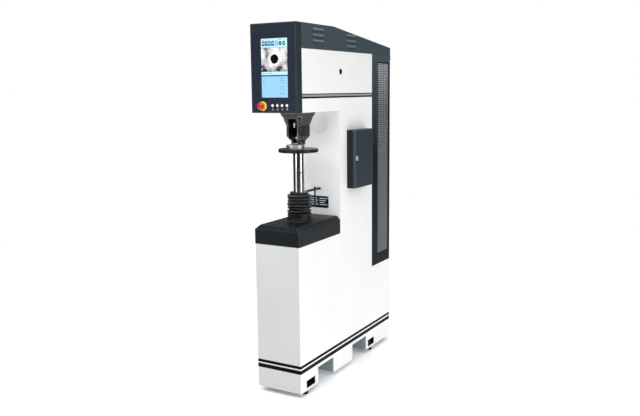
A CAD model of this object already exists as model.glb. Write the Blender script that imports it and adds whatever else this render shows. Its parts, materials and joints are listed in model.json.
import json
import math
import random

import bpy
from mathutils import Matrix, Vector


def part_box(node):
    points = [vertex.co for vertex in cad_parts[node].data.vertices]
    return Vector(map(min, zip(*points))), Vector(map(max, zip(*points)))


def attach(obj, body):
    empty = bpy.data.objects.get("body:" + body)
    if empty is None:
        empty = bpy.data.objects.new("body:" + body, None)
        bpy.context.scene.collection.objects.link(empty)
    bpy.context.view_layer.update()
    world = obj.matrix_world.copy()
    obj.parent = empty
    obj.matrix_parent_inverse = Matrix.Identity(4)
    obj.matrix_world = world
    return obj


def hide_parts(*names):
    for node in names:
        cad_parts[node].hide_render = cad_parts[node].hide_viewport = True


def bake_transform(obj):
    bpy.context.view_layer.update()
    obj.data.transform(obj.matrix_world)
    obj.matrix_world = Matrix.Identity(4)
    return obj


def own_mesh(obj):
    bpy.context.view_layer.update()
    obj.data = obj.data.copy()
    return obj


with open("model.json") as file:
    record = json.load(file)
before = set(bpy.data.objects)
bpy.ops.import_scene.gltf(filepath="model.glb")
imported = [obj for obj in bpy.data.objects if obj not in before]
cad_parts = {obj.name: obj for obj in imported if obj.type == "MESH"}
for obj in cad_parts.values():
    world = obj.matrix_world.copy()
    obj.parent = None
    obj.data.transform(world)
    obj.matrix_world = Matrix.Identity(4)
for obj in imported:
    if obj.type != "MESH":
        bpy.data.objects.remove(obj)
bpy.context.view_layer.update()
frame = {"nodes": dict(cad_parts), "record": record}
nodes = frame["nodes"]

MM = 0.001
screw_low, screw_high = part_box("elevating_screw")
AXIS_X = (screw_low.x + screw_high.x) / 2       # common axis of indenter and elevating screw
AXIS_Y = (screw_low.y + screw_high.y) / 2


def at(x, y, z):
    """Point given in millimetres from the machine's axis at floor level, as metres in the row frame."""
    return Vector((AXIS_X + x * MM, AXIS_Y + y * MM, z * MM))


# ---- places read from the frame, in millimetres from the axis ------------------------------
def extent(node):
    """Box of a CAD node, in millimetres from the axis: x0, x1, y0, y1, z0, z1."""
    low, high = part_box(node)
    return ((low.x - AXIS_X) / MM, (high.x - AXIS_X) / MM, (low.y - AXIS_Y) / MM,
            (high.y - AXIS_Y) / MM, low.z / MM, high.z / MM)


GLASS = extent("touchscreen")
FASCIA = extent("front_fascia")
GRILLE = extent("vent_grille")
BELLOWS = extent("bellows")
HALF_WIDTH = extent("side_panel_right")[1]

# ---- camera ----------------------------------------------------------------------------------
CAMERA_PLACE = (1919.2, -3132.5, 1495.8)
CAMERA_YAW = math.radians(29.871)
CAMERA_PITCH = math.radians(9.045)
CAMERA_ROLL = math.radians(-0.604)
SENSOR = 36.0
LENS = 41.47
CLIP_END = 60.0                                 # metres


def make_camera():
    """The photo's camera. Yaw turns it left of +Y, pitch tips it down, and roll leans it."""
    yaw, pitch, roll = CAMERA_YAW, CAMERA_PITCH, CAMERA_ROLL
    forward = Vector((-math.sin(yaw) * math.cos(pitch), math.cos(yaw) * math.cos(pitch), -math.sin(pitch)))
    level = Vector((math.cos(yaw), math.sin(yaw), 0))
    upright = level.cross(forward)
    right = level * math.cos(roll) + upright * math.sin(roll)
    up = upright * math.cos(roll) - level * math.sin(roll)
    data = bpy.data.cameras.new("camera")
    data.sensor_width = SENSOR
    data.lens = LENS
    data.clip_end = CLIP_END
    camera = bpy.data.objects.new("camera", data)
    bpy.context.scene.collection.objects.link(camera)
    turn = Matrix((right, up, -forward)).transposed().to_4x4()
    camera.matrix_world = Matrix.Translation(at(*CAMERA_PLACE)) @ turn
    bpy.context.scene.camera = camera


# ---- node-tree helper ------------------------------------------------------------------------
class Look:
    """A material in the making: short calls that add and link shader nodes."""

    def __init__(self, name, colour, rough, metallic=0.0, **sockets):
        self.material = bpy.data.materials.new(name)
        self.material.use_nodes = True
        self.tree = self.material.node_tree
        self.shader = self.tree.nodes["Principled BSDF"]
        self.set("Base Color", (*colour, 1))
        self.set("Roughness", rough)
        self.set("Metallic", metallic)
        for key, value in sockets.items():
            self.set(key.replace("_", " "), value)
        self.place = self.add("TexCoord").outputs["Object"]

    def set(self, key, value):
        if isinstance(value, bpy.types.NodeSocket):
            self.tree.links.new(value, self.shader.inputs[key])
        else:
            self.shader.inputs[key].default_value = value

    def add(self, kind, inputs=None, **settings):
        node = self.tree.nodes.new("ShaderNode" + kind)
        for key, value in settings.items():
            setattr(node, key, value)
        for key, value in (inputs or {}).items():
            if isinstance(value, bpy.types.NodeSocket):
                self.tree.links.new(value, node.inputs[key])
            else:
                node.inputs[key].default_value = value
        return node

    def math(self, operation, a, b=0.0):
        return self.add("Math", {0: a, 1: b}, operation=operation).outputs[0]

    def vector(self, operation, a, b=(0, 0, 0)):
        return self.add("VectorMath", {0: a, 1: b}, operation=operation)

    def axis(self, letter, source=None):
        return self.add("SeparateXYZ", {0: source or self.place}).outputs[letter]

    def spread(self, value, low, high, to_low=0.0, to_high=1.0):
        """Maps value from low..high to to_low..to_high, clamped."""
        node = self.add("MapRange", {0: value, 1: low, 2: high, 3: to_low, 4: to_high})
        return node.outputs[0]

    def noise(self, scale, detail=3.0, stretch=None, roughness=0.5):
        place = self.place
        if stretch:
            place = self.add("Mapping", {"Vector": place, "Scale": stretch}).outputs[0]
        node = self.add("TexNoise", {"Vector": place, "Scale": scale, "Detail": detail,
                                     "Roughness": roughness})
        return node.outputs["Fac"]

    def mix(self, factor, a, b):
        node = self.add("Mix", data_type="RGBA")
        for key, value in ((0, factor), (6, a), (7, b)):
            if isinstance(value, bpy.types.NodeSocket):
                self.tree.links.new(value, node.inputs[key])
            else:
                node.inputs[key].default_value = value if key == 0 or len(value) == 4 else (*value, 1)
        return node.outputs[2]

    def shade(self, colour, amount):
        """The colour made darker or lighter by a factor."""
        return tuple(channel * amount for channel in colour[:3]) + (1,)

    def bevelled(self, radius):
        """Normals of the faces with their edges rounded."""
        return self.add("Bevel", {"Radius": radius}, samples=4).outputs[0]

    def edge(self, radius, low=0.02, high=0.25):
        """1 on worn outer edges, 0 on flat faces."""
        normal = self.add("NewGeometry").outputs["Normal"]
        dot = self.vector("DOT_PRODUCT", self.bevelled(radius), normal).outputs["Value"]
        return self.spread(self.math("SUBTRACT", 1.0, dot), low, high)

    def bump(self, height, distance, strength=1.0, radius=None):
        """Bump from height, over edges rounded by radius."""
        inputs = {"Height": height, "Distance": distance, "Strength": strength}
        if radius:
            inputs["Normal"] = self.bevelled(radius)
        self.set("Normal", self.add("Bump", inputs).outputs[0])

    def band(self, value, low, high):
        """1 where value is between low and high, else 0."""
        above = self.math("GREATER_THAN", value, low)
        below = self.math("LESS_THAN", value, high)
        return self.math("MULTIPLY", above, below)


# ---- materials -------------------------------------------------------------------------------
BLACK_PAINT = (0.002, 0.002, 0.002, 1)
STRIPES = ((153.5, 168.5), (126.0, 146.0))      # two painted stripes round the foot of the panels
BAND_BLACK = (1459.6, 1467.4)                   # lower line of the band on the head
BAND_GREY = (1467.4, 1477.6)
BAND_TOP = (1477.6, 1482.2)
WELL_FRONT, WELL_REAR = -50.0, 506.0            # the foot wells lie in front of and behind these
DARK = (0.050, 0.070, 0.083)                    # dark paint of the covers
BELT_RIB = 0.003                                # pitch, in metres


def powder_coat(name, colour, rough, peel=420.0, depth=0.00009, edge_light=1.0, radius=0.0012, **sockets):
    """Powder-coated sheet: orange peel, faint cloudiness, and paler, smoother folded edges."""
    look = Look(name, colour, rough, **sockets)
    cloud = look.noise(2.5, 4)
    fine = look.noise(peel, 2)
    base = look.mix(look.spread(cloud, 0.3, 0.7), look.shade(colour, 0.965), look.shade(colour, 1.03))
    speck = look.spread(look.noise(peel * 2.2, 1), 0.62, 0.75)
    base = look.mix(look.math("MULTIPLY", speck, 0.12), base, look.shade(colour, 1.25))
    if edge_light != 1.0:
        base = look.mix(look.edge(radius), base, look.shade(colour, edge_light))
    look.base = base
    look.set("Base Color", base)
    look.set("Roughness", look.spread(fine, 0.25, 0.75, rough - 0.05, rough + 0.06))
    look.bump(fine, depth, 0.6, radius)
    return look


def white_panel(name, colour):
    """White powder coat with the painted stripes at the foot and the band across the head."""
    look = powder_coat(name, colour, 0.38, Specular_IOR_Level=0.04)
    height = look.axis("Z")
    base = look.base
    for low, high in STRIPES + (BAND_BLACK,):
        base = look.mix(look.band(height, low * MM, high * MM), base, BLACK_PAINT)
    base = look.mix(look.band(height, BAND_GREY[0] * MM, BAND_GREY[1] * MM), base, (0.30, 0.32, 0.31, 1))
    base = look.mix(look.band(height, BAND_TOP[0] * MM, BAND_TOP[1] * MM), base, (0.03, 0.032, 0.032, 1))
    look.set("Base Color", base)
    return look


def hood_paint(colour, rough):
    """Dark coat of the top cover: its pressed louvre hoods are paler where they slope up."""
    look = powder_coat("hood_paint", colour, rough, edge_light=2.2, Specular_IOR_Level=0.35)
    up = look.axis("Z", look.add("NewGeometry").outputs["Normal"])
    slope = look.band(up, 0.18, 0.93)
    look.set("Base Color", look.mix(look.math("MULTIPLY", slope, 0.85), look.base, look.shade(colour, 2.5)))
    return look


def rear_paint(colour, rough):
    """Dark coat of the rear cover, which gets darker towards the floor."""
    look = powder_coat("rear_paint", colour, rough, edge_light=2.0, Specular_IOR_Level=0.06)
    fade = look.spread(look.axis("Z"), 1.15, 1.72, 1.0, 0.0)
    look.set("Base Color", look.mix(look.math("MULTIPLY", fade, 0.92), look.base, look.shade(colour, 0.08)))
    return look


def grille_paint(colour, rough):
    """Coated slotted sheet, duller towards the floor."""
    look = powder_coat("grille", colour, rough, edge_light=1.5, Specular_IOR_Level=0.2)
    fade = look.spread(look.axis("Z"), 1.40, 1.62, 1.0, 0.0)
    look.set("Base Color", look.mix(look.math("MULTIPLY", fade, 0.55), look.base, look.shade(colour, 0.12)))
    return look


def plinth_paint(colour, rough):
    """Grey-blue fork pockets; the wells round the levelling feet are left black."""
    look = powder_coat("plinth_paint", colour, rough, 260, 0.0002)
    front, rear = (at(0, y, 0).y for y in (WELL_FRONT, WELL_REAR))
    depth = look.axis("Y")
    well = look.math("ADD", look.math("LESS_THAN", depth, front), look.math("GREATER_THAN", depth, rear))
    look.set("Base Color", look.mix(well, look.base, (0.006, 0.006, 0.006, 1)))
    return look


def cast_iron(name, colour, rough):
    """Painted sand casting: grain under thick paint, rubbed brighter along its edges."""
    look = Look(name, colour, rough)
    grain = look.noise(260, 5, roughness=0.65)
    lumps = look.noise(38, 2)
    base = look.mix(look.spread(grain, 0.35, 0.7), look.shade(colour, 0.7), look.shade(colour, 1.5))
    rub = look.math("MULTIPLY", look.edge(0.0045, 0.01, 0.12), look.spread(look.noise(90, 4), 0.15, 0.45))
    base = look.mix(look.math("MULTIPLY", rub, 0.9), base, (0.42, 0.42, 0.43, 1))
    look.set("Base Color", base)
    look.set("Roughness", look.spread(grain, 0.3, 0.7, rough - 0.1, rough + 0.12))
    height = look.math("ADD", grain, look.math("MULTIPLY", lumps, 1.6))
    look.bump(height, 0.0005, 0.55, 0.0016)
    return look


def machined(name, colour, rough, stretch, scale=900.0, radius=0.0006, tone=0.12, depth=0.00003):
    """Bare ground metal, with fine marks that run where stretch is small."""
    look = Look(name, colour, rough, metallic=1.0)
    marks = look.noise(scale, 3, stretch)
    cloud = look.noise(14, 4)
    base = look.mix(marks, look.shade(colour, 1 - tone), look.shade(colour, 1 + tone * 0.6))
    base = look.mix(look.spread(cloud, 0.45, 0.75, 0, 0.35), base, look.shade(colour, 0.8))
    look.set("Base Color", base)
    look.set("Roughness", look.spread(marks, 0.3, 0.7, rough * 0.75, rough * 1.3))
    look.bump(marks, depth, 0.5, radius)
    return look


def turned_steel(name, colour, rough, centre, pitch=0.0009):
    """Faced on a lathe: fine rings about centre, crossed by a soft cloud of handling marks."""
    look = Look(name, colour, rough, metallic=1.0)
    local = look.vector("SUBTRACT", look.place, tuple(centre)).outputs[0]
    flat = look.vector("MULTIPLY", local, (1, 1, 0)).outputs[0]
    reach = look.vector("LENGTH", flat).outputs["Value"]
    wobble = look.math("MULTIPLY", look.noise(60, 2), pitch * 0.8)
    turns = look.math("DIVIDE", look.math("ADD", reach, wobble), pitch)
    rings = look.math("SINE", look.math("MULTIPLY", turns, 2 * math.pi))
    cloud = look.noise(30, 4)
    base = look.mix(look.spread(rings, -1, 1), look.shade(colour, 0.86), look.shade(colour, 1.08))
    base = look.mix(look.spread(cloud, 0.4, 0.75, 0, 0.4), base, look.shade(colour, 0.7))
    look.set("Base Color", base)
    look.set("Roughness", look.spread(cloud, 0.3, 0.7, rough * 0.8, rough * 1.35))
    look.bump(rings, 0.00004, 0.5, 0.0006)
    return look


def blackened(name, colour, rough):
    """Oil-blackened steel with fine scratches and bright corners."""
    look = Look(name, colour, rough, metallic=0.75)
    marks = look.noise(700, 3, (1, 1, 0.15))
    cloud = look.noise(22, 5)
    base = look.mix(look.spread(cloud, 0.35, 0.7), look.shade(colour, 0.7), look.shade(colour, 1.5))
    rub = look.math("MULTIPLY", look.edge(0.0008), look.spread(look.noise(160, 3), 0.3, 0.6))
    base = look.mix(look.math("MULTIPLY", rub, 0.6), base, (0.32, 0.32, 0.33, 1))
    look.set("Base Color", base)
    look.set("Roughness", look.spread(marks, 0.3, 0.7, rough * 0.8, rough * 1.3))
    look.bump(marks, 0.00004, 0.5, 0.0008)
    return look


def moulded(name, colour, rough, grain=600.0, depth=0.00006, metallic=0.0, **sockets):
    """Moulded plastic or rubber: fine grain and slight tonal drift."""
    look = Look(name, colour, rough, metallic=metallic, **sockets)
    fine = look.noise(grain, 3)
    cloud = look.noise(18, 3)
    base = look.mix(look.spread(cloud, 0.3, 0.7), look.shade(colour, 0.92), look.shade(colour, 1.07))
    base = look.mix(look.math("MULTIPLY", look.edge(0.0007), 0.25), base, look.shade(colour, 1.8))
    look.set("Base Color", base)
    look.set("Roughness", look.spread(fine, 0.3, 0.7, rough * 0.85, rough * 1.15))
    look.bump(fine, depth, 0.6, 0.0007)
    return look


def rubber_bellows():
    """Black rubber with a dull bloom: dust lies on what faces up."""
    colour = (0.006, 0.006, 0.007)
    look = Look("rubber", colour, 0.55, Specular_IOR_Level=0.35)
    fine = look.noise(420, 4)
    up = look.axis("Z", look.add("NewGeometry").outputs["Normal"])
    dust = look.math("MULTIPLY", look.spread(up, 0.2, 0.95), look.spread(look.noise(55, 4), 0.3, 0.7))
    base = look.mix(look.math("MULTIPLY", dust, 0.7), (*colour, 1), (0.11, 0.11, 0.108, 1))
    look.set("Base Color", base)
    look.set("Roughness", look.spread(fine, 0.3, 0.7, 0.34, 0.55))
    look.bump(fine, 0.0002, 0.5)
    return look


def toothed_belt():
    """Black rubber belt with fine cross ribs over a weave."""
    look = Look("belt", (0.02, 0.02, 0.021), 0.6)
    weave = look.noise(1200, 2)
    ribs = look.math("SINE", look.math("MULTIPLY", look.axis("Z"), 2 * math.pi / BELT_RIB))
    base = look.mix(look.spread(weave, 0.3, 0.7), (0.014, 0.014, 0.015, 1), (0.03, 0.03, 0.031, 1))
    look.set("Base Color", base)
    look.set("Roughness", look.spread(weave, 0.3, 0.7, 0.5, 0.7))
    look.bump(look.math("ADD", ribs, weave), 0.0002, 0.6)
    return look


def make_looks():
    """Materials of the CAD nodes and the slotted sheets, by name."""
    block_low, block_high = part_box("test_block")
    block_centre = (block_low + block_high) / 2
    axis = at(0, 0, 0)
    lift = (1, 1, 0.02)
    looks = {
        "white_panel": white_panel("white_panel", (0.87, 0.868, 0.845)),
        "front_panel": white_panel("front_panel", (0.59, 0.59, 0.59)),
        "grey_panel": powder_coat("grey_panel", (0.90, 0.905, 0.905), 0.42, Specular_IOR_Level=0.3),
        "dark_cover": powder_coat("dark_cover", DARK, 0.42, edge_light=2.6, Specular_IOR_Level=0.35),
        "hood_paint": hood_paint(DARK, 0.42),
        "rear_paint": rear_paint((0.064, 0.084, 0.10), 0.5),
        "frame_paint": powder_coat("frame_paint", (0.024, 0.034, 0.042), 0.42, edge_light=3.5, radius=0.002,
                                   Specular_IOR_Level=0.15),
        "box_paint": powder_coat("box_paint", (0.010, 0.013, 0.016), 0.4, edge_light=9.0, radius=0.004,
                                 Specular_IOR_Level=0.2),
        "door_paint": powder_coat("door_paint", (0.029, 0.041, 0.050), 0.4, edge_light=8.0, radius=0.0045,
                                  Specular_IOR_Level=0.2),
        "plinth_paint": plinth_paint((0.25, 0.31, 0.33), 0.55),
        "rim_panel": powder_coat("rim_panel", (0.86, 0.865, 0.865), 0.4, edge_light=1.12, radius=0.004),
        "black_cover": powder_coat("black_cover", (0.0045, 0.0065, 0.0085), 0.34, edge_light=24.0,
                                   radius=0.0038, Specular_IOR_Level=0.14),
        "fascia": moulded("fascia", (0.017, 0.022, 0.038), 0.3, 900, 0.00001, Coat_Weight=0.25,
                          Coat_Roughness=0.1, Specular_IOR_Level=0.3),
        "lock_zinc": machined("lock_zinc", (0.88, 0.89, 0.90), 0.42, (1, 1, 1), 240),
        "screen": moulded("screen", (0.012, 0.014, 0.02), 0.12, 900, 0.00001, Coat_Weight=1.0,
                          Coat_Roughness=0.03),
        "cast_black": cast_iron("cast_black", (0.0085, 0.0085, 0.0095), 0.36),
        "frame_steel": powder_coat("frame_steel", (0.17, 0.22, 0.235), 0.55, 260, 0.0002),
        "chrome": machined("chrome", (0.62, 0.63, 0.64), 0.14, lift, depth=0.000006, tone=0.05),
        "steel": turned_steel("steel", (0.60, 0.60, 0.60), 0.26, axis),
        "black_steel": blackened("black_steel", (0.020, 0.021, 0.023), 0.34),
        "bronze": machined("bronze", (0.62, 0.40, 0.17), 0.3, lift, tone=0.2),
        "rubber": rubber_bellows(),
        "belt": toothed_belt(),
        "motor": moulded("motor", (0.055, 0.058, 0.064), 0.42, 500, 0.0001, metallic=0.7),
        "objective": turned_steel("objective", (0.72, 0.73, 0.74), 0.22, axis, 0.0006),
        "red": moulded("red", (0.60, 0.018, 0.022), 0.30, 500, 0.00003, Coat_Weight=0.4),
        "yellow": moulded("yellow", (0.82, 0.52, 0.05), 0.34, 500, 0.00003, Coat_Weight=0.3),
        "white_button": moulded("white_button", (0.84, 0.84, 0.82), 0.34, 600, 0.00003),
        "grey_plastic": moulded("grey_plastic", (0.16, 0.165, 0.17), 0.5, 500, 0.0001),
        "zinc": machined("zinc", (0.55, 0.56, 0.58), 0.34, (1, 1, 1), 240, tone=0.25),
        "test_steel": turned_steel("test_steel", (0.82, 0.82, 0.82), 0.38, block_centre),
        "grille": grille_paint((0.42, 0.45, 0.48), 0.5),
    }
    return {name: look.material for name, look in looks.items()}


looks = make_looks()
slots = {part["node"]: part["material_slot"] for part in frame["record"]["subparts"]}


def dress_cad_nodes():
    """Gives every CAD node the material of its slot, or one of its own."""
    own = {"test_block": "test_steel", "base_front_panel": "front_panel", "top_cover": "hood_paint",
           "rear_cover": "rear_paint", "junction_box": "box_paint", "box_door": "door_paint",
           "plinth": "plinth_paint",
           "column_cover_disc": "rim_panel", "door_lock": "lock_zinc", "display_housing": "frame_paint"}
    for name, node in nodes.items():
        material = looks[own.get(name, slots[name])]
        node.data.materials.clear()
        node.data.materials.append(material)


# ---- mesh helpers ----------------------------------------------------------------------------
def new_piece(name, mesh_data, body, materials, smooth_angle=None):
    """Makes an object from (vertices, faces, material indices) and lets it ride on a body."""
    vertices, faces, indices = mesh_data
    mesh = bpy.data.meshes.new(name)
    mesh.from_pydata([tuple(v) for v in vertices], [], faces)
    for material in materials:
        mesh.materials.append(material)
    if indices:
        mesh.polygons.foreach_set("material_index", indices)
    if smooth_angle is not None:
        mesh.polygons.foreach_set("use_smooth", [True] * len(mesh.polygons))
        mesh.set_sharp_from_angle(angle=math.radians(smooth_angle))
    mesh.validate()
    mesh.update()
    piece = bpy.data.objects.new(name, mesh)
    bpy.context.scene.collection.objects.link(piece)
    if body:
        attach(piece, body)
    return piece


def revolve_rings(rings, segments, place):
    """Faces between closed rings of points. place(ring, angle) gives each point."""
    vertices = [place(ring, 2 * math.pi * k / segments) for ring in rings for k in range(segments)]
    faces = []
    for i in range(len(rings) - 1):
        for k in range(segments):
            n = (k + 1) % segments
            faces.append((i * segments + k, i * segments + n, (i + 1) * segments + n, (i + 1) * segments + k))
    return vertices, faces


class Decals:
    """Thin printed or lit shapes on a face that looks along -Y, each on its own layer."""

    LAYER = 0.06

    def __init__(self, y):
        self.y = y
        self.vertices, self.faces, self.indices = [], [], []

    def shape(self, points, colour, layer=1):
        """Outline of (x, z) points, counter-clockwise seen from the front."""
        front = self.y - layer * self.LAYER
        start = len(self.vertices)
        count = len(points)
        self.vertices += [at(x, front, z) for x, z in points]
        self.vertices += [at(x, self.y, z) for x, z in points]
        self.faces.append(tuple(start + i for i in range(count)))
        self.faces.append(tuple(start + count + i for i in reversed(range(count))))
        for i in range(count):
            n = (i + 1) % count
            self.faces.append((start + i, start + count + i, start + count + n, start + n))
        self.indices += [colour] * (count + 2)

    def box(self, x0, x1, z0, z1, colour, layer=1):
        self.shape([(x0, z0), (x1, z0), (x1, z1), (x0, z1)], colour, layer)

    def rounded(self, x0, x1, z0, z1, corner, colour, layer=1):
        points = []
        for cx, cz, first in ((x1 - corner, z0 + corner, 270), (x1 - corner, z1 - corner, 0),
                              (x0 + corner, z1 - corner, 90), (x0 + corner, z0 + corner, 180)):
            for step in range(4):
                angle = math.radians(first + 30 * step)
                points.append((cx + corner * math.cos(angle), cz + corner * math.sin(angle)))
        self.shape(points, colour, layer)

    def disc(self, x, z, radius, colour, layer=1, sides=20):
        turn = 2 * math.pi / sides
        self.shape([(x + radius * math.cos(i * turn), z + radius * math.sin(i * turn))
                    for i in range(sides)], colour, layer)

    def piece(self, name, slot, materials):
        return new_piece(name, (self.vertices, self.faces, self.indices), "machine", materials)


# ---- screen picture --------------------------------------------------------------------------
PIXEL = 0.0006                                  # pitch, in metres


def lit(name, colour, glow=0.1):
    """A lit patch of the panel under its glass: a fine pixel grid that glows a little."""
    look = Look(name, colour, 0.2, Coat_Weight=0.2, Coat_Roughness=0.05, Specular_IOR_Level=0.1)
    across = look.math("SINE", look.math("MULTIPLY", look.axis("X"), 2 * math.pi / PIXEL))
    along = look.math("SINE", look.math("MULTIPLY", look.axis("Z"), 2 * math.pi / PIXEL))
    pixel = look.spread(look.math("MULTIPLY", across, along), -1, 1)
    base = look.mix(pixel, look.shade(colour, 0.94), look.shade(colour, 1.05))
    look.set("Base Color", base)
    look.set("Emission Color", base)
    look.set("Emission Strength", glow)
    return look.material


def specimen_picture(centre, radius):
    """Grey microscope view of a ground surface with one round dark indentation."""
    look = Look("specimen", (0.4, 0.4, 0.4), 0.2, Coat_Weight=0.2, Coat_Roughness=0.05,
                Specular_IOR_Level=0.1)
    local = look.vector("SUBTRACT", look.place, tuple(centre)).outputs[0]
    flat = look.vector("MULTIPLY", local, (1, 0, 1)).outputs[0]
    reach = look.math("DIVIDE", look.vector("LENGTH", flat).outputs["Value"], radius)
    wobble = look.spread(look.noise(90, 2), 0.3, 0.7, -0.07, 0.07)
    reach = look.math("ADD", reach, wobble)
    cloud = look.noise(22, 5, roughness=0.6)
    rise = look.math("MULTIPLY", look.axis("Z", local), 1.5)
    cloud = look.math("ADD", cloud, rise)
    ground = look.mix(look.spread(cloud, 0.37, 0.64), (0.02, 0.018, 0.02, 1), (0.70, 0.69, 0.69, 1))
    halo = look.math("MULTIPLY", look.spread(reach, 1.0, 2.1, 1, 0), look.spread(cloud, 0.2, 0.6, 0.45, 1))
    ground = look.mix(halo, ground, (0.88, 0.88, 0.86, 1))
    black = (0.001, 0.001, 0.001, 1)
    inside = look.mix(look.spread(look.noise(140, 4), 0.5, 0.8), black, (0.04, 0.04, 0.04, 1))
    inside = look.mix(look.spread(reach, 0.45, 0.9), inside, black)
    picture = look.mix(look.spread(reach, 0.96, 1.1), inside, ground)
    look.set("Base Color", picture)
    look.set("Emission Color", picture)
    look.set("Emission Strength", 0.15)
    return look.material


def make_screen():
    """Lit picture on the glass: toolbar with icons, specimen view, status band and result table."""
    left, right = -68.0, 76.5
    top, bottom = 1737.0, 1466.0
    toolbar = top - 41.0
    view_low = 1586.0
    band_low = 1570.0
    line_low = 1564.0
    middle = (left + right) / 2
    dent = (middle + 1.0, (toolbar + view_low) / 2 + 2)
    cyan, pale, deep, icon_blue, icon_light, purple, green, grey_line, white, view = range(10)
    materials = [lit("screen_cyan", (0.44, 0.69, 0.74)), lit("screen_pale", (0.26, 0.50, 0.68)),
                 lit("screen_deep", (0.01, 0.07, 0.26)), lit("screen_icon", (0.012, 0.10, 0.27)),
                 lit("screen_icon_light", (0.09, 0.32, 0.60)), lit("screen_purple", (0.03, 0.008, 0.09)),
                 lit("screen_green", (0.008, 0.12, 0.06)), lit("screen_grey", (0.10, 0.24, 0.34)),
                 lit("screen_white", (0.78, 0.84, 0.86)),
                 specimen_picture(at(dent[0], 0, dent[1]), 21 * MM)]
    print_on = Decals(GLASS[2])
    print_on.box(left, right, toolbar, top, cyan)
    print_on.box(left, right, view_low, toolbar - 0.8, view)
    print_on.box(left, right, band_low, view_low - 0.8, cyan)
    print_on.box(left, right, line_low, band_low, deep)
    print_on.box(left, right, bottom, line_low, pale)
    for x0, x1 in ((left + 4, left + 26), (left + 32, left + 48), (right - 52, right - 30)):
        print_on.box(x0, x1, top - 7.5, top - 5.5, grey_line, 2)
    icon = 15.2
    row = toolbar + 7.0
    for i in range(4):
        x = left + 5 + i * (icon + 2.4)
        print_on.rounded(x, x + icon, row, row + icon * 1.45, 2.5, icon_blue, 2)
        print_on.disc(x + icon / 2, row + icon * 0.8, 3.8, white, 3)
        print_on.disc(x + icon / 2, row + icon * 0.8, 1.9, icon_blue, 4)
    x = left + 5 + 4 * (icon + 2.4) + 3
    print_on.rounded(x, x + icon, row, row + icon * 1.45, 2.5, icon_light, 2)
    for k in range(3):
        print_on.box(x + 3, x + icon - 3, row + 5 + k * 4.5, row + 6.4 + k * 4.5, white, 3)
    print_on.disc(x + icon + 13, row + 10.5, 9.0, purple, 2)
    print_on.disc(x + icon + 13, row + 10.5, 2.2, white, 3)
    print_on.rounded(x + icon + 26, x + icon + 40, row + 1, row + 20, 4, green, 2)
    print_on.box(x + icon + 30, x + icon + 36, row + 9, row + 12, white, 3)
    for k in range(3):
        print_on.box(left + 8 + k * 20, left + 22 + k * 20, band_low + 6, band_low + 8.5, grey_line, 2)
    for k in range(9):
        z = line_low - 10 - k * 10
        print_on.box(left + 3, right - 3, z - 4.4, z - 4.0, cyan, 2)
        if k < 4:
            print_on.box(left + 8, left + 20, z, z + 1.8, grey_line, 2)
        if k in (0, 1, 2, 4, 5, 7):
            print_on.box(right - 44, right - 18, z, z + 1.8, grey_line, 2)
    print_on.piece("screen_picture", "screen", materials)


# ---- printed marks on the fascia -------------------------------------------------------------
def make_fascia_marks():
    """A small generic mark and a short bar under each push button."""
    ink = moulded("pale_ink", (0.62, 0.64, 0.66), 0.4).material
    marks = Decals(FASCIA[2])
    for number in range(1, 5):
        x0, x1, _, _, z0, _ = extent(f"push_button_{number}")
        x = (x0 + x1) / 2
        z = z0 - 9.0
        if number == 1:
            marks.shape([(x - 3.2, z - 2), (x + 3.2, z - 2), (x, z + 2.4)], 0)
        elif number == 2:
            marks.shape([(x - 3.2, z + 2), (x, z - 2.4), (x + 3.2, z + 2)], 0)
        elif number == 3:
            marks.disc(x, z, 2.4, 0)
        else:
            marks.box(x - 2.6, x + 2.6, z - 2.2, z + 2.2, 0)
        marks.box(x - 6, x + 6, z - 6.2, z - 5.0, 0)
    marks.piece("fascia_marks", "fascia", [ink])


# ---- data plate on the throat panel ----------------------------------------------------------
PLATE_FACE = 200.0                              # y of the throat panel's face
PLATE_LOW, PLATE_HIGH = 887.0, 949.0
PLATE_LAYERS = 16


def make_data_plate():
    """Blank rating plate: black field, pale bars where entries would be, and four rivets."""
    field = moulded("plate_black", (0.006, 0.011, 0.024), 0.4, 500, 0.00002, Specular_IOR_Level=0.2).material
    bars = moulded("plate_pale", (0.78, 0.84, 0.90), 0.35, 500, 0.00002).material
    plate = Decals(PLATE_FACE)
    low, high = PLATE_LOW, PLATE_HIGH
    thick = PLATE_LAYERS
    plate.rounded(-57, 57, low, high, 3, 0, thick)
    for row in range(4):
        z = high - 14 - row * 11
        plate.box(-50, -12 + 6 * (row % 2), z, z + 3.2, 1, thick + 1)
        plate.box(4, 50 - 8 * (row % 3), z, z + 3.2, 1, thick + 1)
    for x in (-53, 53):
        for z in (low + 4, high - 4):
            plate.disc(x, z, 1.7, 1, thick + 4, 12)
    plate.piece("data_plate", "black_steel", [field, bars])


# ---- side plug and cover screws --------------------------------------------------------------
PLUG_Y, PLUG_Z = 214.0, 1590.0
SCREWS_X = (-62.0, 62.0)
SCREWS_Y = -158.0
SCREWS_Z = 850.8                                # the base cover's surface under them


def turned_mesh(profile, centre, axis, segments=40):
    """Surface of revolution: (radius, height) points in millimetres about an axis through centre."""
    turn = Vector((0, 0, 1)).rotation_difference(Vector(axis)).to_matrix()

    def place(ring, angle):
        radius, height = ring
        point = Vector((radius * math.cos(angle), radius * math.sin(angle), height))
        return at(*(Vector(centre) + turn @ point))

    return revolve_rings(profile, segments, place)


def make_side_plug():
    """Black grommet with a deep dish in the hole of the right side panel."""
    profile = [(0.01, -2.6), (10.0, -2.6), (10.8, -1.6), (11.2, 0.6), (11.9, 1.1), (13.2, 1.1), (14.2, 0.7),
               (14.5, 0.0)]
    vertices, faces = turned_mesh(profile, (HALF_WIDTH, PLUG_Y, PLUG_Z), (1, 0, 0))
    black = moulded("plug_black", (0.004, 0.004, 0.004), 0.6, 500, Specular_IOR_Level=0.1).material
    new_piece("side_plug", (vertices, faces, None), "machine", [black], 40)


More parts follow.
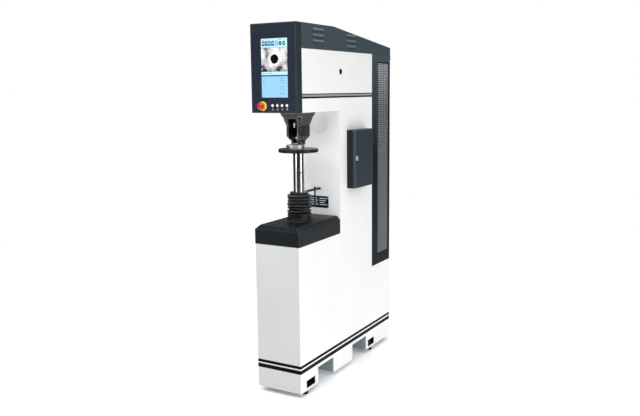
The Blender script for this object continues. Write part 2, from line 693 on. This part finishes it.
def make_cover_screws():
    """Two socket screws that stand on the base cover, near its front."""
    dark = looks["black_steel"]
    for number, x in enumerate(SCREWS_X, start=1):
        profile = [(0.01, 0.6), (2.6, 0.6), (3.0, 0.8), (3.0, 3.2), (3.4, 3.6), (5.2, 3.6), (6.0, 2.9),
                   (6.0, 0.8), (7.8, 0.6), (8.0, 0.0)]
        vertices, faces = turned_mesh(profile, (x, SCREWS_Y, SCREWS_Z), (0, 0, 1), 28)
        new_piece(f"cover_screw_{number}", (vertices, faces, None), "machine", [dark], 35)


# ---- bellows ---------------------------------------------------------------------------------
def make_bellows():
    """Moulded rubber bellows: loose, slightly uneven folds above a plainer skirt."""
    _, outer, _, _, low, high = BELLOWS
    inner = outer - 12.5
    skirt = 34.0
    folds = 6
    fold = (high - low - skirt) / folds
    rng = random.Random(4)
    rings = [(outer - 3.0, low, 0.0), (outer - 0.6, low + 1.0, 0.0), (outer - 0.3, low + 5, 0.0)]
    for k in range(1, 5):
        z = low + 5 + k * (skirt - 7) / 4
        rings.append((outer - 4.2 + 0.4 * (k % 2), z - 2.6, 0.1))
        rings.append((outer - 2.4, z, 0.15))
    for i in range(folds):
        base = low + skirt + i * fold
        crest = outer - rng.uniform(0.0, 3.2)
        root = inner - rng.uniform(0.0, 3.0)
        sway = 2.9 if 0 < i < folds - 1 else 1.2
        for radius, share in ((root, 0.02), (root + 1.8, 0.14), (crest - 3.2, 0.40), (crest - 0.6, 0.52),
                              (crest, 0.60), (crest - 0.8, 0.68), (crest - 4.5, 0.80), (root + 2.4, 0.94)):
            rings.append((radius, base + share * fold, sway))
    rings += [(inner - 1, high - 2.2, 0.2), (inner - 3, high - 0.6, 0.0), (34.0, high - 0.4, 0.0)]
    phases = [rng.uniform(0, 2 * math.pi) for _ in rings]

    def place(ring, angle):
        index, radius, z, sway = ring
        phase = phases[(index // 8) % len(phases)]
        lift = sway * (1.2 * math.sin(angle + phase) + 0.9 * math.sin(3 * angle + 2 * phase))
        pinch = sway * 0.8 * math.sin(2 * angle + 1.7 * phase)
        reach = min(radius + pinch, outer + 0.6)
        height = min(max(z + lift, low), high)
        return at(reach * math.cos(angle), reach * math.sin(angle), height)

    numbered = [(i, *ring) for i, ring in enumerate(rings)]
    vertices, faces = revolve_rings(numbered, 96, place)
    piece = new_piece("bellows_folds", (vertices, faces, None), None, [looks["rubber"]], 75)
    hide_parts("bellows")
    tuple(at(0, 0, low))
    tuple(at(0, 0, high))
    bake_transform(piece)


# ---- disc springs under the indenter's cap ---------------------------------------------------
def make_indenter_spring():
    """Stack of disc springs as one folded wall, which flattens as the cap is pressed down."""
    x0, x1, _, _, low, high = extent("indenter_spring")
    outer = (x1 - x0) / 2
    fold, wall, discs = 1.0, 0.9, 5
    outside, inside = [], []
    for i in range(discs + 1):
        z = low + i * (high - low) / discs
        radius = outer - fold * (i % 2)
        outside.append((radius, z))
        inside.append((radius - wall, z))
    vertices, faces = turned_mesh(outside + inside[::-1] + outside[:1], (0, 0, 0), (0, 0, 1), 48)
    piece = new_piece("disc_springs", (vertices, faces, None), "turret", [looks["steel"]], 30)
    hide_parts("indenter_spring")
    tuple(at(0, 0, low))
    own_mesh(piece)


# ---- slotted vent sheets ---------------------------------------------------------------------
SLOT_BORDER = (11.0, 9.0)                       # across and up
SLOT_PITCH = (22.0, 12.4)
SLOT_SIZE = (17.5, 8.0)
SLOT_DEPTH = 2.4
SIDE_SHEET = (1.0, 166.0)                       # from the front of the CAD sheet's box
REAR_SHEET_WIDTH = 212.0


def cuts(span, border, pitch, slot):
    """Lines across a span, and the number of its last slot: every second strip from 2 is a slot."""
    count = int((span - 2 * border) / pitch)
    first = -count * pitch / 2
    lines = [-span / 2, first]
    for k in range(count):
        middle = first + (k + 0.5) * pitch
        lines += [middle - slot / 2, middle + slot / 2]
    return lines + [-first, span / 2], 2 * count


def slotted(width, height):
    """Sheet with rows of slots over dark gauze: (across, up, depth) points, faces, material indices."""
    across, last_across = cuts(width, SLOT_BORDER[0], SLOT_PITCH[0], SLOT_SIZE[0])
    up, last_up = cuts(height, SLOT_BORDER[1], SLOT_PITCH[1], SLOT_SIZE[1])
    known, vertices, faces, indices = {}, [], [], []

    def face(index, *corners):
        for corner in corners:
            if corner not in known:
                known[corner] = len(vertices)
                vertices.append(corner)
        faces.append(tuple(known[corner] for corner in corners))
        indices.append(index)

    for i, (a0, a1) in enumerate(zip(across, across[1:])):
        for j, (u0, u1) in enumerate(zip(up, up[1:])):
            ring = [(a0, u0), (a1, u0), (a1, u1), (a0, u1)]
            is_slot = i % 2 == 0 and 2 <= i <= last_across and j % 2 == 0 and 2 <= j <= last_up
            if not is_slot:
                edge = i == 0 or i == last_across + 2 or j == 0 or j == last_up + 2
                face(1 if edge else 0, *[(a, u, 0.0) for a, u in ring])
                continue
            face(1, *[(a, u, SLOT_DEPTH) for a, u in ring])
            for (a, u), (b, v) in zip(ring, ring[1:] + ring[:1]):
                face(0, (a, u, 0.0), (b, v, 0.0), (b, v, SLOT_DEPTH), (a, u, SLOT_DEPTH))
    return vertices, faces, indices


def make_grille():
    """Slotted sheets behind the openings of the rear cover, on both sides and the rear."""
    x0, x1, y0, y1, z0, z1 = GRILLE
    middle_z = (z0 + z1) / 2
    side_y0, side_y1 = (y0 + depth for depth in SIDE_SHEET)
    middle_y = (side_y0 + side_y1) / 2
    side_width = side_y1 - side_y0
    walls = {
        "grille_right": (side_width, lambda a, u, d: at(x1 - d, middle_y + a, middle_z + u)),
        "grille_left": (side_width, lambda a, u, d: at(x0 + d, middle_y - a, middle_z + u)),
        "grille_rear": (REAR_SHEET_WIDTH, lambda a, u, d: at(-a, y1 - d, middle_z + u)),
    }
    gauze = powder_coat("gauze", (0.006, 0.007, 0.009), 0.7, 900, 0.0002, Specular_IOR_Level=0.1).material
    for name, (width, place) in walls.items():
        vertices, faces, indices = slotted(width, z1 - z0)
        piece = new_piece(name, ([place(*v) for v in vertices], faces, indices), "machine",
                          [looks["grille"], gauze])
        if name == "grille_rear":
            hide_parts("vent_grille")


# ---- studio ----------------------------------------------------------------------------------
SKY_START, SKY_END = 0.10, 0.75                 # upward part of the direction, 0 to 1
SKY_LOW, SKY_HIGH = 0.03, 1.15                  # strength at these
FLOOR_REACH = 4.5                               # metres
FLOOR_GLOW = 0.2
LIGHTS = (                                      # name, place, target, size, power, seen in reflections
    ("key", (3800, -500, 1500), (0, -100, 1300), (2.0, 3.0), 46, True),
    ("front", (350, -1500, 2300), (0, 200, 1000), (1.5, 0.9), 19, True),
    ("low_fill", (-1500, -2750, 620), (0, 0, 1000), (1.3, 0.4), 3, True),
    ("left_fill", (-1400, -500, 1150), (0, 200, 1050), (0.8, 0.6), 6.5, False),
    ("throat_fill", (-350, -900, 1120), (0, 50, 1250), (0.3, 0.2), 0.6, True),
)


def area_light(name, place, target, size, power, mirrored):
    """Area light at place, aimed at target (mm); size in metres, power in watts."""
    data = bpy.data.lights.new(name, "AREA")
    data.shape = "RECTANGLE"
    data.size, data.size_y = size
    data.energy = power
    light = bpy.data.objects.new(name, data)
    bpy.context.scene.collection.objects.link(light)
    light.location = at(*place)
    light.rotation_mode = "QUATERNION"
    light.rotation_quaternion = (at(*target) - at(*place)).to_track_quat("-Z", "Y")
    light.visible_camera = False
    light.visible_glossy = mirrored


def world_light(tree):
    """White for the camera; for the object a sky that is dark at the horizon and bright overhead."""
    sky = tree.nodes["Background"]
    place = tree.nodes.new("ShaderNodeTexCoord")
    split = tree.nodes.new("ShaderNodeSeparateXYZ")
    ramp = tree.nodes.new("ShaderNodeMapRange")
    ramp.interpolation_type = "SMOOTHSTEP"
    for socket, value in ((1, SKY_START), (2, SKY_END), (3, SKY_LOW), (4, SKY_HIGH)):
        ramp.inputs[socket].default_value = value
    tree.links.new(place.outputs["Generated"], split.inputs[0])
    tree.links.new(split.outputs["Z"], ramp.inputs[0])
    tree.links.new(ramp.outputs[0], sky.inputs["Strength"])
    sky.inputs["Color"].default_value = (0.96, 0.98, 1.0, 1)
    plain = tree.nodes.new("ShaderNodeBackground")
    plain.inputs["Color"].default_value = (1, 1, 1, 1)
    sight = tree.nodes.new("ShaderNodeLightPath")
    choose = tree.nodes.new("ShaderNodeMixShader")
    tree.links.new(sight.outputs["Is Camera Ray"], choose.inputs[0])
    tree.links.new(sky.outputs[0], choose.inputs[1])
    tree.links.new(plain.outputs[0], choose.inputs[2])
    tree.links.new(choose.outputs[0], tree.nodes["World Output"].inputs["Surface"])


def make_studio():
    """World, floor and lights."""
    scene = bpy.context.scene
    scene.view_settings.view_transform = "Standard"
    scene.world = bpy.data.worlds.new("studio")
    scene.world.use_nodes = True
    world_light(scene.world.node_tree)

    mesh = bpy.data.meshes.new("floor")
    reach = FLOOR_REACH
    mesh.from_pydata([(-reach, -reach, 0), (reach, -reach, 0), (reach, reach, 0), (-reach, reach, 0)], [],
                     [(0, 1, 2, 3)])
    floor = bpy.data.objects.new("floor", mesh)
    scene.collection.objects.link(floor)
    look = Look("floor", (0.93, 0.93, 0.93), 0.8)
    look.set("Base Color", look.mix(look.noise(1.5, 2), (0.92, 0.92, 0.92, 1), (0.94, 0.94, 0.94, 1)))
    look.set("Emission Color", (1, 1, 1, 1))
    look.set("Emission Strength", FLOOR_GLOW)
    mesh.materials.append(look.material)

    for light in LIGHTS:
        area_light(*light)


# ---- assembly --------------------------------------------------------------------------------
make_camera()
dress_cad_nodes()
make_screen()
make_fascia_marks()
make_data_plate()
make_side_plug()
make_cover_screws()
make_bellows()
make_indenter_spring()
make_grille()
make_studio()

bpy.context.view_layer.update()
